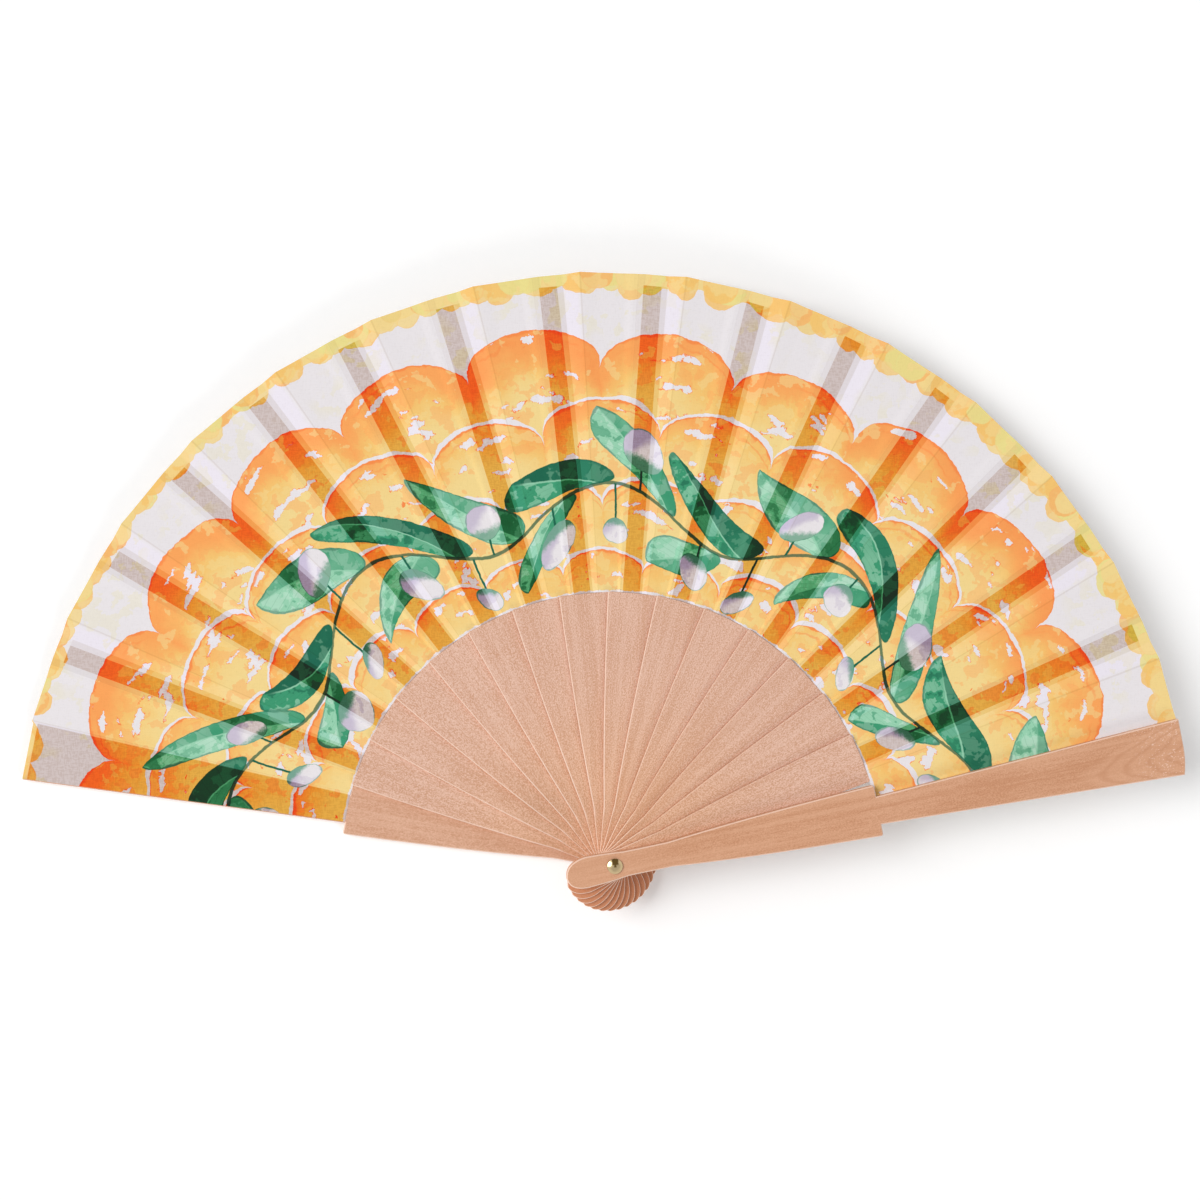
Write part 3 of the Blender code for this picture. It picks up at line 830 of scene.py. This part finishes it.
# The rows of rounded lobes, from the rim inwards
LOBE_ROW_REACHES = (0.1800, 0.1560, 0.1320, 0.1080)
LOBE_YELLOWING = (-0.12, 0.22, 0.28, 0.28)
LOBE_TURN_DEG = 15.4
LOBE_SHIFT = 0.13
LOBE_HEIGHT = 0.0135
LOBE_HEIGHT_SPREAD = 0.005
LOBE_PITCH = 0.024
LOBE_GAP = (0.0010, 0.0024)
LOBE_EDGE = 0.0016
RING_DEPTH = 0.0038
RING_SPREAD = 0.006
RING_LINE = (0.0007, 0.0001)
STROKES = (13, 190)

# The garland's stem, and along it the rows of leaves (place, length, width, lean in degrees, whether they
# point outwards, and tones) and of berries (place, height over the stem, and size)
GARLAND_REACH = 0.1285
GARLAND_SWAY = 0.0095
GARLAND_WAVES = 9.0
GARLAND_PITCH = 0.0560
GARLAND_LEAVES = (
    (0.30, 0.046, 0.0135, 48, True, ("green", "mint", "pale_mint")),
    (0.65, 0.036, 0.0120, 40, False, ("green", "mint", "pale_mint")),
    (0.85, 0.040, 0.0145, 33, True, ("dark_green", "green", "mint")),
)
GARLAND_BERRIES = ((0.1, 0.0125, 0.0070), (0.55, -0.0115, 0.0066), (0.95, -0.0185, 0.0052))
STEM_LINE = (0.0008, 0.0005)
STALK_LINE = (0.0005, 0.0003)
MIDRIB_LINE = (0.00038, 0.00012)
VEINS = (7, 260)

# The sizes that chance gives to leaves, berries and their stalks, and the width of their dried edges
LEAF_SIZES = (0.78, 1.14)
BERRY_SIZES = (0.8, 1.1)
STALK_SIZES = (0.8, 1.2)
PRINTED_LEAF_EDGE = 0.0012
BERRY_EDGE = 0.0007

# The border's rows of dabs along the rim, and the unprinted margin along the gorge
BORDER_REACH = 0.2101
DAB_PITCHES = (0.0165, 0.0137, 0.0183, 0.0151)
DAB_REACHES = (0.2112, 0.2120, 0.2126, 0.2135)
DAB_SHIFT = 0.37
DAB_RISE = 0.0016
DAB_SIZE = 0.0064
DAB_SIZES = (0.65, 1.0)
DAB_SHARE = 0.9
DAB_EDGE = 0.0009
MARGIN_REACH = 0.0977


class Painter:
    """Paints the leaf's design on its flat coordinates, one layer over another."""

    def __init__(self, graph, settings):
        self.graph = graph
        self.tones = {name: srgb(getattr(settings, name)) for name in settings.__annotations__}
        self.flat = graph.uv("print")
        self.loose = self.drawn(LOOSE_HAND)
        self.tight = self.drawn(TIGHT_HAND)
        self.wash = graph.noise(self.flat, WASH_WAVES, 3.0, 0.5)
        self.blot = graph.noise(self.loose, BLOT_WAVES, 3.0, 0.55)
        self.grit = graph.noise(self.flat, GRIT_WAVES, 2.0, 0.7)
        thin = graph.smooth(0.52, 0.54, self.blot) * 0.22 * graph.smooth(0.4, 0.6, self.wash)
        self.color = self.mixed("ground", (thin, "olive"))

    def drawn(self, hand):
        """The flat coordinates as a hand would draw on them, with wide and fine wanderings."""
        place = self.flat
        for waves, amount in hand:
            place = self.graph.warped(place, waves, amount)
        return place

    def mixed(self, tone, *layers):
        """A tone with others laid over it in turn. Each layer is its share and its tone."""
        color = self.tones[tone]
        for share, over in layers:
            color = self.graph.paint(share, color, self.tones[over])
        return color

    def lay(self, share, color):
        self.color = self.graph.paint(share, self.color, color)

    def crisp(self, inside):
        """1 in a shape and 0 outside it. A shape is given by the depth inside its outline, in metres."""
        return self.graph.smooth(0.0, CRISP, inside)

    def edge(self, inside, width):
        """The darker rim where a wash has dried, thick in some places and thin in others."""
        graph = self.graph
        reach = between(DRIED_WIDTHS, graph.smooth(0.35, 0.7, self.blot)) * width
        return graph.smooth(0.0, DRIED, inside) * (1 - graph.smooth(reach * 0.5, reach, inside))

    def lobes(self, number, row_reach):
        """A row of rounded lobes that spread outwards, each a wash of its own tone with a dried edge."""
        graph = self.graph
        reach, turn = graph.polar(self.loose)
        cell, aside = graph.cells(turn * (180 / math.pi / LOBE_TURN_DEG) + (0.5 * (number % 2) + LOBE_SHIFT))
        aside = aside * 2
        height = (1 - aside * aside) ** 0.5 * (LOBE_HEIGHT * (row_reach / LOBE_ROW_REACHES[0]))
        chance = graph.random(cell + 11 * number)
        inside = height + (chance - 0.5) * LOBE_HEIGHT_SPREAD + row_reach - reach
        depth = inside / LOBE_PITCH + (self.wash - 0.5) * 1.1 + LOBE_YELLOWING[number]
        spots = self.blot + (chance - 0.5) * 0.1
        ring = graph.smooth(*RING_LINE, abs(inside - RING_DEPTH - (self.blot - 0.5) * RING_SPREAD))
        round_fan, inwards = STROKES
        strokes = graph.join(turn * round_fan + chance * 5, inside * inwards + chance * 7 + self.grit * 0.5)
        skip = graph.noise(strokes, 1.0) - graph.smooth(0.5, 0.9, abs(aside)) * 0.3
        body = self.mixed(
            "orange",
            (graph.smooth(-0.05, 0.55, depth), "yellow"),
            (graph.smooth(0.35, 1.0, depth + (self.blot - 0.5) * 0.7), "pale_yellow"),
            (graph.smooth(0.55, 0.95, chance) * graph.smooth(0.75, 0.1, depth) * 0.35, "coral"),
            (graph.smooth(0.545, 0.56, spots) * 0.4, "orange"),
            (graph.smooth(0.43, 0.415, spots) * 0.5, "pale_yellow"),
            (ring * graph.smooth(0.45, 0.6, self.wash) * 0.5, "coral"),
            (graph.smooth(0.602, 0.610, skip), "coral"),
            (graph.smooth(0.614, 0.620, skip), "ground"),
            (self.edge(inside, LOBE_EDGE) * 0.85, "coral"),
        )
        gap = between(LOBE_GAP, graph.smooth(0.4, 0.7, self.wash))
        self.lay(self.crisp(inside + gap), self.tones["ground"])
        self.lay(self.crisp(inside), body)

    def foliage(self, shift, length, width, lean_deg, outward, tones):
        """A row of pointed leaves that grow from the garland's stem, outwards or inwards."""
        graph = self.graph
        dark, middle, light = tones
        lean = math.radians(lean_deg)
        height = (self.reach - self.stem) if outward else (self.stem - self.reach)
        row = (self.turn * GARLAND_REACH - height / math.tan(lean)) / GARLAND_PITCH
        cell, aside = graph.cells(row + shift)
        chance = graph.random(cell + 100 * shift)
        along = height / (length * math.sin(lean)) / between(LEAF_SIZES, chance)
        sway = (chance - 0.5) * along * (1 - along) * (width * 1.5)
        aside = aside * (GARLAND_PITCH * math.sin(lean)) + sway
        inside = along ** 0.55 * (1 - along) ** 0.85 * (width * 1.35) - abs(aside)
        lit = graph.smooth(-0.0002, 0.0003, aside)
        bright = graph.smooth(0.50, 0.53, self.blot + chance * 0.1 - 0.05) * 0.6 * (lit * 0.6 + 0.4)
        veins = abs(graph.math("FRACT", along * VEINS[0] - abs(aside) * VEINS[1]) - 0.5)
        midrib = graph.smooth(*MIDRIB_LINE, abs(aside)) * graph.smooth(0.95, 0.7, along)
        self.lay(self.crisp(inside), self.mixed(
            dark,
            (lit, middle),
            (bright, light),
            (graph.smooth(0.44, 0.40, self.blot) * 0.7, dark),
            (graph.smooth(0.45, 0.75, self.wash + chance * 0.2) * 0.4, middle),
            (graph.smooth(0.44, 0.5, veins) * 0.35, dark),
            (midrib * 0.85, "mint"),
            (self.edge(inside, PRINTED_LEAF_EDGE) * 0.55, "dark_green"),
        ))

    def berries(self, shift, height, size):
        """White berries on short stalks, shaded on one side."""
        graph = self.graph
        rise = self.reach - self.stem
        cell, aside = graph.cells(self.turn * GARLAND_REACH / GARLAND_PITCH + shift)
        chance = graph.random(cell + 50 * shift + 7)
        aside = aside * GARLAND_PITCH * (self.reach / GARLAND_REACH)
        up = rise - between(STALK_SIZES, chance) * height
        side = math.copysign(1, height)
        stalk = graph.smooth(*STALK_LINE, abs(aside)) * graph.smooth(0.0, 0.0004, rise * side)
        self.lay(stalk * graph.smooth(0.0, 0.0004, up * -side), self.tones["dark_green"])
        inside = between(BERRY_SIZES, chance) * size - hypot(aside, up)
        shade = (aside + up) * 0.7 + (self.blot - 0.5) * 0.004
        cup = up * -side / size + (self.grit - 0.5) * 0.5
        self.lay(self.crisp(inside), self.mixed(
            "ground",
            (graph.smooth(-0.0005, 0.0030, shade), "lilac"),
            (graph.smooth(0.56, 0.58, self.blot) * 0.4, "lilac"),
            (graph.smooth(0.2, 0.6, cup) * 0.75, "green"),
            (self.edge(inside, BERRY_EDGE) * 0.6, "green"),
        ))

    def garland(self):
        """A waving stem with leaves on both sides and berries between them."""
        graph = self.graph
        self.reach, self.turn = graph.polar(self.tight)
        self.stem = graph.math("SINE", self.turn * GARLAND_WAVES) * GARLAND_SWAY + GARLAND_REACH
        for leaves in GARLAND_LEAVES:
            self.foliage(*leaves)
        stem = graph.smooth(*STEM_LINE, abs(self.reach - self.stem))
        self.lay(stem * 0.85, self.tones["dark_green"])
        for berries in GARLAND_BERRIES:
            self.berries(*berries)

    def border(self):
        """Dabs of yellow, olive and orange along the rim, each with a crisp edge."""
        graph = self.graph
        reach, turn = graph.polar(self.loose)
        base = self.mixed("yellow", (graph.smooth(0.47, 0.49, self.blot), "pale_yellow"))
        self.lay(self.crisp(reach + (self.wash - 0.5) * 0.005 - BORDER_REACH), base)
        for number, (pitch, row_reach) in enumerate(zip(DAB_PITCHES, DAB_REACHES)):
            cell, aside = graph.cells(turn * (row_reach / pitch) + DAB_SHIFT * number)
            chance, tone = graph.random(cell + 31 * number), graph.random(cell + 57 * number + 0.5)
            up = reach - row_reach - tone * DAB_RISE
            inside = between(DAB_SIZES, chance) * DAB_SIZE - hypot(aside * pitch, up)
            self.lay(self.crisp(inside) * DAB_SHARE, self.mixed(
                "yellow",
                (graph.smooth(0.30, 0.31, tone), "pale_yellow"),
                (graph.smooth(0.62, 0.63, tone) * 0.8, "olive"),
                (graph.smooth(0.84, 0.85, tone) * 0.7, "orange"),
                (graph.smooth(0.50, 0.54, self.blot) * 0.6, "pale_yellow"),
                (self.edge(inside, DAB_EDGE) * 0.15, "orange"),
            ))

    def margin(self):
        """The unprinted edge along the gorge."""
        reach = self.graph.polar(self.flat)[0]
        limit = MARGIN_REACH + (self.blot - 0.5) * 0.002 + (self.grit - 0.5) * 0.0016
        self.lay(self.graph.smooth(CRISP, 0.0, reach - limit), self.tones["ground"])


# What the wood under the cloth, the glue beside it and the clear cloth do to the print's colour, with painted
# shade on the rise to a slip and along a ridge, and painted light on the clear facet before a ridge
UNDER_GAMMA = 2.1
UNDER_TINT = (0.97, 0.92, 0.85, 1.0)
UNDER_FLECK = (0.87, 0.83, 0.80, 1.0)
BESIDE_GAMMA = 1.2
BESIDE_TINT = (0.96, 0.94, 0.95, 1.0)
RISE_SHADE_TINT = (0.90, 0.89, 0.89, 1.0)
CLEAR_AND_LIT_TINT = (1.02, 1.01, 1.08, 1.0)
CREASE_SHADE_TINT = (0.88, 0.85, 0.83, 1.0)

# The cotton's threads both ways, in waves to a metre, and its finish
THREAD_WAVES = ((450, 2300, 1), (2300, 450, 1))
THREAD_SHADE = (0.60, 0.55, 0.52, 1.0)
THREAD_SHARE = 0.13
THREAD_DEPTH = 0.00006
CLOTH_ROUGHNESS = 0.85
CLOTH_SHEEN = 0.12
CLOTH_SPECULAR = 0.25


def laid_on_wood(graph, color, weave, grit):
    """The print as the front shows it: dark over slips and blade, duller over glue, with painted shade on the
    rise to each slip and along each ridge, and painted light on the clear facet before each ridge.
    """
    station, inside = graph.split(graph.uv("fold"))[:2]

    def stretch(start, end, fade):
        """1 between two stations, with a soft edge at each."""
        return graph.smooth(start - fade, start, station) * graph.smooth(end + fade, end, station)

    inward = graph.smooth(0.0, 0.08, inside)
    flecks = graph.smooth(0.44, 0.56, weave * 0.75 + grit * 0.25)
    deep = graph.paint(1.0, graph.deepened(color, UNDER_GAMMA), UNDER_TINT, "MULTIPLY")
    deep = graph.paint(flecks, deep, UNDER_FLECK, "MULTIPLY")
    glued = graph.paint(1.0, graph.deepened(color, BESIDE_GAMMA), BESIDE_TINT, "MULTIPLY")
    # Painted shade on the rise to the slip's left edge, painted light on the clear facet before the ridge,
    # where the sheer cloth also has nothing behind it, and a painted shade line along the ridge
    color = graph.paint(stretch(FOOT, SLIP_LEFT, 0.1), color, RISE_SHADE_TINT, "MULTIPLY")
    color = graph.paint(stretch(FLAT_END + 0.05, RIDGE - 0.3, 0.3), color, CLEAR_AND_LIT_TINT, "MULTIPLY")
    color = graph.paint(stretch(RIDGE - 0.02, RIDGE + 0.03, 0.04) * 0.8, color, CREASE_SHADE_TINT, "MULTIPLY")
    color = graph.paint(stretch(SLIP_RIGHT, FLAT_END, 0.03) * inward, color, glued)
    return graph.paint(stretch(SLIP_LEFT - 0.06, SLIP_RIGHT + 0.16, 0.03) * inward, color, deep)


def print_material(name, settings, is_front):
    """Printed cotton. The back shows the print faintly; the front shows the wood that lies under it."""
    graph = Graph(bpy.data.materials.new(name))
    painter = Painter(graph, settings)
    for number, reach in enumerate(LOBE_ROW_REACHES):
        painter.lobes(number, reach)
    painter.garland()
    painter.border()
    painter.margin()
    warp, weft = (graph.noise(graph.turned(painter.flat, 0, scale=waves), 1.0, 1.0) for waves in THREAD_WAVES)
    weave = (warp + weft) * 0.5
    if is_front:
        color = laid_on_wood(graph, painter.color, weave, painter.grit)
    else:
        color = graph.paint(0.5, painter.color, srgb(settings.ground))
    color = graph.paint(graph.smooth(0.55, 0.25, weave) * THREAD_SHARE, color, THREAD_SHADE, "MULTIPLY")
    graph.shader.inputs["Sheen Weight"].default_value = CLOTH_SHEEN
    graph.shader.inputs["Specular IOR Level"].default_value = CLOTH_SPECULAR
    return graph.finish(color, CLOTH_ROUGHNESS, weave, THREAD_DEPTH)


def add_cloth_piece(name, mesh, materials, thickness):
    """Makes a sheet of cloth with its thickness, and the paler print on its back."""
    piece = bpy.data.objects.new(name, mesh)
    bpy.context.scene.collection.objects.link(piece)
    for material in materials:
        mesh.materials.append(material)
    solidify = piece.modifiers.new("cloth", "SOLIDIFY")
    solidify.thickness = thickness
    solidify.offset = 0
    solidify.material_offset = 1
    return piece


def flat_area(mesh):
    return sum(face.area for face in mesh.polygons)


class FAN_OT_hang_leaf(bpy.types.Operator):
    """Make the pleated leaf: a gore for each gap, from one stick's glue line to the next stick's valley"""

    bl_idname = "fan.hang_leaf"
    bl_label = "Hang Leaf"

    def execute(self, context):
        settings = context.scene.fan_leaf
        materials = [print_material("leaf_front", context.scene.fan_print, True),
                     print_material("leaf_back", context.scene.fan_print, False)]
        for count in range(LAST):
            name = f"leaf_gore_{count + 1:02d}"
            mesh, weights = gore_mesh(name, count, settings)
            gore = add_cloth_piece(name, mesh, materials, settings.cloth_thickness)
            start, end = mesh.vertices[0].co, mesh.vertices[-1].co
            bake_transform(gore, BODIES[count], BODIES[count + 1], start=start, end=end)
            mesh.attributes["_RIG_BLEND"].data.foreach_set("value", weights)
            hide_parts(STRIPS[count], f"leaf_pleat_{count + 1:02d}")
            width = STEPS_DEG[count] * math.pi / 180 * LEAF_RIM * FLAT_WIDTH_SHARE
            flat_area(mesh)
        self.tuck_last_strip(settings, materials)
        return {"FINISHED"}

    def tuck_last_strip(self, settings, materials):
        """The end of the leaf, glued flat under the front guard's blade."""
        height = seat_height(LAST) - settings.glue_lift
        vertices = []
        for row in range(ROWS + 1):
            share = row / ROWS
            reach = between((LEAF_ROOT, BLADE_REACH - LEAF_END_SHORT), share)
            half = half_width(LAST, share)
            for across in (half - CREASE_ACROSS, STRIP_GAP - half):
                vertices.append(on_stick(LAST, reach, across, height))
        mesh = grid_mesh("leaf_end", vertices, 2)
        add_uv(mesh, "print", [(point.x, point.y) for point in vertices])
        add_uv(mesh, "fold", [(END, 0.0)] * len(vertices))
        end = add_cloth_piece("leaf_end", mesh, materials, settings.cloth_thickness)
        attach(end, BODIES[LAST])
        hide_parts(STRIPS[LAST])


class FanStageSettings(bpy.types.PropertyGroup):
    floor_size: length_setting("Floor size", "Side of the square floor", 8.0, 100)
    floor_color: color_setting("Floor", "Colour of the plain floor", (0.990, 0.990, 0.990))
    sky_strength: bpy.props.FloatProperty(
        name="Sky strength", description="Light that comes evenly from all round", min=0, max=5, default=0.41)
    key_power: bpy.props.FloatProperty(
        name="Key power", description="Power of the soft lamp on the left", subtype="POWER", unit="POWER",
        min=0, max=5000, default=250.0)
    key_size: length_setting("Key size", "Side of the soft lamp", 3.4, 10)
    fill_power: bpy.props.FloatProperty(
        name="Fill power", description="Power of the weaker lamp at the lower right", subtype="POWER",
        unit="POWER", min=0, max=5000, default=13.0)
    fill_size: length_setting("Fill size", "Side of the weaker lamp", 0.8, 10)
    lens: bpy.props.FloatProperty(
        name="Lens", description="Focal length of the camera, in millimetres", min=10, max=500, default=51.07)


CAMERA_PLACE = (-0.05728, 0.09228, 0.6265)
CAMERA_TURN_DEG = (0.183, -4.973, -0.099)
NEAREST_SEEN = 0.01
KEY_PLACE = (-4.10, 1.10, 4.24)
FILL_PLACE = (1.22, -1.74, 1.32)

# The floor glows faintly near the fan, so that its shadow stays, and fully from the second distance on
FLOOR_GLOW = 0.10
GLOW_REACHES = (0.8, 2.6)
FLOOR_ROUGHNESS = 0.9


class FAN_OT_set_stage(bpy.types.Operator):
    """Set the floor, the lights, the white surroundings and the camera"""

    bl_idname = "fan.set_stage"
    bl_label = "Set Stage"

    def execute(self, context):
        settings = context.scene.fan_stage
        self.add_floor(context, settings)
        self.add_world(context, settings)
        self.add_lamp(context, "key", KEY_PLACE, settings.key_power, settings.key_size, True)
        self.add_lamp(context, "fill", FILL_PLACE, settings.fill_power, settings.fill_size, False)
        self.add_camera(context, settings)
        context.scene.view_settings.view_transform = "Standard"
        return {"FINISHED"}

    def add_floor(self, context, settings):
        bpy.ops.mesh.primitive_plane_add(size=settings.floor_size, location=(0, 0, CAD_BOX[0].z))
        floor = context.object
        floor.name = "floor"
        graph = Graph(bpy.data.materials.new("plain_floor"))
        far = graph.smooth(*GLOW_REACHES, graph.polar(graph.coordinates("Object"))[0])
        glow = graph.seen() * between((FLOOR_GLOW, 1.0), far)
        graph.shader.inputs["Emission Color"].default_value = srgb(settings.floor_color)
        graph.feed(graph.shader.inputs["Emission Strength"], glow)
        floor.data.materials.append(graph.finish(srgb(settings.floor_color), FLOOR_ROUGHNESS))

    def add_world(self, context, settings):
        """White where it is seen, and dimmer as a light."""
        context.scene.world = bpy.data.worlds.new("studio")
        graph = Graph(context.scene.world, "Background")
        graph.shader.inputs["Color"].default_value = (1, 1, 1, 1)
        graph.feed(graph.shader.inputs["Strength"], between((settings.sky_strength, 1.0), graph.seen()))

    def add_lamp(self, context, name, place, power, size, shines):
        """A square lamp that faces the fan, with or without its reflection in the brass."""
        lamp = bpy.data.lights.new(name, "AREA")
        lamp.energy = power
        lamp.size = size
        lamp_object = bpy.data.objects.new(name, lamp)
        lamp_object.location = place
        lamp_object.rotation_euler = (-Vector(place)).to_track_quat("-Z", "Y").to_euler()
        lamp_object.visible_glossy = shines
        context.scene.collection.objects.link(lamp_object)

    def add_camera(self, context, settings):
        lens = bpy.data.cameras.new("camera")
        lens.lens = settings.lens
        lens.clip_start = NEAREST_SEEN
        camera = bpy.data.objects.new("camera", lens)
        camera.location = CAMERA_PLACE
        camera.rotation_euler = [math.radians(turn) for turn in CAMERA_TURN_DEG]
        context.scene.collection.objects.link(camera)
        context.scene.camera = camera


class FAN_PT_panel(bpy.types.Panel):
    """Lists the fan's pieces and their settings"""

    bl_idname = "FAN_PT_panel"
    bl_label = "Folding Fan"
    bl_space_type = "VIEW_3D"
    bl_region_type = "UI"
    bl_category = "Fan"

    def draw(self, context):
        for group, operator in SECTIONS:
            box = self.layout.box()
            settings = getattr(context.scene, group)
            for name in settings.__annotations__:
                box.prop(settings, name)
            if operator:
                box.operator(operator)


SECTIONS = (
    ("fan_wood", "fan.finish_wood"),
    ("fan_rivet", "fan.polish_rivet"),
    ("fan_print", None),
    ("fan_leaf", "fan.hang_leaf"),
    ("fan_stage", "fan.set_stage"),
)
SETTINGS = {
    "fan_wood": FanWoodSettings,
    "fan_rivet": FanRivetSettings,
    "fan_print": FanPrintSettings,
    "fan_leaf": FanLeafSettings,
    "fan_stage": FanStageSettings,
}
CLASSES = (
    *SETTINGS.values(),
    FAN_OT_finish_wood,
    FAN_OT_polish_rivet,
    FAN_OT_hang_leaf,
    FAN_OT_set_stage,
    FAN_PT_panel,
)


def register():
    for item in CLASSES:
        bpy.utils.register_class(item)
    for name, group in SETTINGS.items():
        setattr(bpy.types.Scene, name, bpy.props.PointerProperty(type=group))


def unregister():
    for name in SETTINGS:
        delattr(bpy.types.Scene, name)
    for item in reversed(CLASSES):
        bpy.utils.unregister_class(item)


def main():
    register()
    bpy.ops.fan.finish_wood()
    bpy.ops.fan.polish_rivet()
    bpy.ops.fan.hang_leaf()
    bpy.ops.fan.set_stage()


if __name__ == "__main__":
    main()
